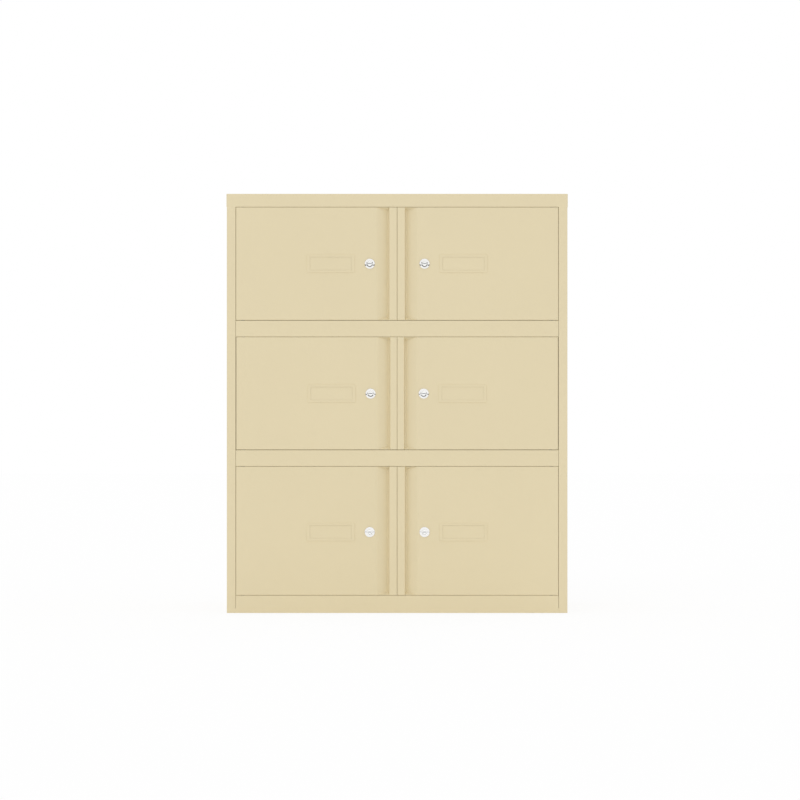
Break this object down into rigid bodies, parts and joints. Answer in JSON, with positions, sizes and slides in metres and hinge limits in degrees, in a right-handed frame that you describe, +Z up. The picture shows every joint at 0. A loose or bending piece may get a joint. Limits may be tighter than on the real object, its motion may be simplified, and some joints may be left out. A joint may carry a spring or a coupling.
{
  "type": "office locker",
  "caption": "Steel office locker with tiers of paired lockable doors, full-height finger recesses, card frames, chrome cam locks and levelling feet.",
  "frame": {"origin": "on the floor, at the middle of the overall box", "axes": "+X right along the front, +Y from the front to the back, +Z up"},
  "size_m": [0.8, 0.4722, 0.983],
  "materials": {
    "body_paint": "fine beige powder coat",
    "inner_paint": "thin beige powder coat",
    "zinc": "bright zinc plate",
    "chrome": "polished chrome",
    "nylon": "moulded nylon",
    "rubber": "moulded rubber",
    "foot_plastic": "moulded plastic"
  },
  "bodies": {
    "carcass": {"left_side_panel": "body_paint", "right_side_panel": "body_paint", "top_panel": "body_paint", "back_panel": "body_paint", "base_plate": "body_paint", "bottom_shelf": "body_paint", "lower_shelf": "body_paint", "upper_shelf": "body_paint", "lower_divider": "inner_paint", "middle_divider": "inner_paint", "upper_divider": "inner_paint", "pivot_pins": "zinc", "door_buffers": "rubber", "foot_nuts": "zinc"},
    "lower_left_door": {"lower_left_door_panel": "body_paint", "lower_left_inner_door_panel": "inner_paint", "lower_left_label_holder": "body_paint", "lower_left_hinge_bushes": "nylon", "lower_left_lock_housing": "chrome"},
    "lower_left_lock": {"lower_left_lock_plug": "chrome", "lower_left_lock_cam": "zinc"},
    "lower_right_door": {"lower_right_door_panel": "body_paint", "lower_right_inner_door_panel": "inner_paint", "lower_right_label_holder": "body_paint", "lower_right_hinge_bushes": "nylon", "lower_right_lock_housing": "chrome"},
    "lower_right_lock": {"lower_right_lock_plug": "chrome", "lower_right_lock_cam": "zinc"},
    "middle_left_door": {"middle_left_door_panel": "body_paint", "middle_left_inner_door_panel": "inner_paint", "middle_left_label_holder": "body_paint", "middle_left_hinge_bushes": "nylon", "middle_left_lock_housing": "chrome"},
    "middle_left_lock": {"middle_left_lock_plug": "chrome", "middle_left_lock_cam": "zinc"},
    "middle_right_door": {"middle_right_door_panel": "body_paint", "middle_right_inner_door_panel": "inner_paint", "middle_right_label_holder": "body_paint", "middle_right_hinge_bushes": "nylon", "middle_right_lock_housing": "chrome"},
    "middle_right_lock": {"middle_right_lock_plug": "chrome", "middle_right_lock_cam": "zinc"},
    "upper_left_door": {"upper_left_door_panel": "body_paint", "upper_left_inner_door_panel": "inner_paint", "upper_left_label_holder": "body_paint", "upper_left_hinge_bushes": "nylon", "upper_left_lock_housing": "chrome"},
    "upper_left_lock": {"upper_left_lock_plug": "chrome", "upper_left_lock_cam": "zinc"},
    "upper_right_door": {"upper_right_door_panel": "body_paint", "upper_right_inner_door_panel": "inner_paint", "upper_right_label_holder": "body_paint", "upper_right_hinge_bushes": "nylon", "upper_right_lock_housing": "chrome"},
    "upper_right_lock": {"upper_right_lock_plug": "chrome", "upper_right_lock_cam": "zinc"},
    "front_left_levelling_foot": {"front_left_foot": "foot_plastic"},
    "front_right_levelling_foot": {"front_right_foot": "foot_plastic"},
    "rear_left_levelling_foot": {"rear_left_foot": "foot_plastic"},
    "rear_right_levelling_foot": {"rear_right_foot": "foot_plastic"}
  },
  "joints": [
    {"name": "lower_left_door_hinge", "type": "hinge", "parent": "carcass", "child": "lower_left_door", "pos_m": [-0.36175, -0.2287, 0.19295], "axis": [0, 0, -1], "range_deg": [0, 105]},
    {"name": "lower_left_lock_turn", "type": "hinge", "parent": "lower_left_door", "child": "lower_left_lock", "pos_m": [-0.06425, -0.2339, 0.1902], "axis": [0, -1, 0], "range_deg": [0, 90]},
    {"name": "lower_right_door_hinge", "type": "hinge", "parent": "carcass", "child": "lower_right_door", "pos_m": [0.36175, -0.2287, 0.19295], "axis": [0, 0, 1], "range_deg": [0, 105]},
    {"name": "lower_right_lock_turn", "type": "hinge", "parent": "lower_right_door", "child": "lower_right_lock", "pos_m": [0.06425, -0.2339, 0.1902], "axis": [0, 1, 0], "range_deg": [0, 90]},
    {"name": "middle_left_door_hinge", "type": "hinge", "parent": "carcass", "child": "middle_left_door", "pos_m": [-0.35975, -0.2287, 0.51535], "axis": [0, 0, -1], "range_deg": [0, 105]},
    {"name": "middle_left_lock_turn", "type": "hinge", "parent": "middle_left_door", "child": "middle_left_lock", "pos_m": [-0.06225, -0.2339, 0.5147], "axis": [0, -1, 0], "range_deg": [0, 90]},
    {"name": "middle_right_door_hinge", "type": "hinge", "parent": "carcass", "child": "middle_right_door", "pos_m": [0.35975, -0.2287, 0.51535], "axis": [0, 0, 1], "range_deg": [0, 105]},
    {"name": "middle_right_lock_turn", "type": "hinge", "parent": "middle_right_door", "child": "middle_right_lock", "pos_m": [0.06225, -0.2339, 0.5147], "axis": [0, 1, 0], "range_deg": [0, 90]},
    {"name": "upper_left_door_hinge", "type": "hinge", "parent": "carcass", "child": "upper_left_door", "pos_m": [-0.36175, -0.2287, 0.81915], "axis": [0, 0, -1], "range_deg": [0, 105]},
    {"name": "upper_left_lock_turn", "type": "hinge", "parent": "upper_left_door", "child": "upper_left_lock", "pos_m": [-0.06425, -0.2339, 0.8191], "axis": [0, -1, 0], "range_deg": [0, 90]},
    {"name": "upper_right_door_hinge", "type": "hinge", "parent": "carcass", "child": "upper_right_door", "pos_m": [0.36175, -0.2287, 0.81915], "axis": [0, 0, 1], "range_deg": [0, 105]},
    {"name": "upper_right_lock_turn", "type": "hinge", "parent": "upper_right_door", "child": "upper_right_lock", "pos_m": [0.06425, -0.2339, 0.8191], "axis": [0, 1, 0], "range_deg": [0, 90]},
    {"name": "front_left_foot_screw", "type": "slide", "parent": "carcass", "child": "front_left_levelling_foot", "axis": [0, 0, -1], "range_m": [0, 0.012]},
    {"name": "front_right_foot_screw", "type": "slide", "parent": "carcass", "child": "front_right_levelling_foot", "axis": [0, 0, -1], "range_m": [0, 0.012]},
    {"name": "rear_left_foot_screw", "type": "slide", "parent": "carcass", "child": "rear_left_levelling_foot", "axis": [0, 0, -1], "range_m": [0, 0.012]},
    {"name": "rear_right_foot_screw", "type": "slide", "parent": "carcass", "child": "rear_right_levelling_foot", "axis": [0, 0, -1], "range_m": [0, 0.012]}
  ]
}
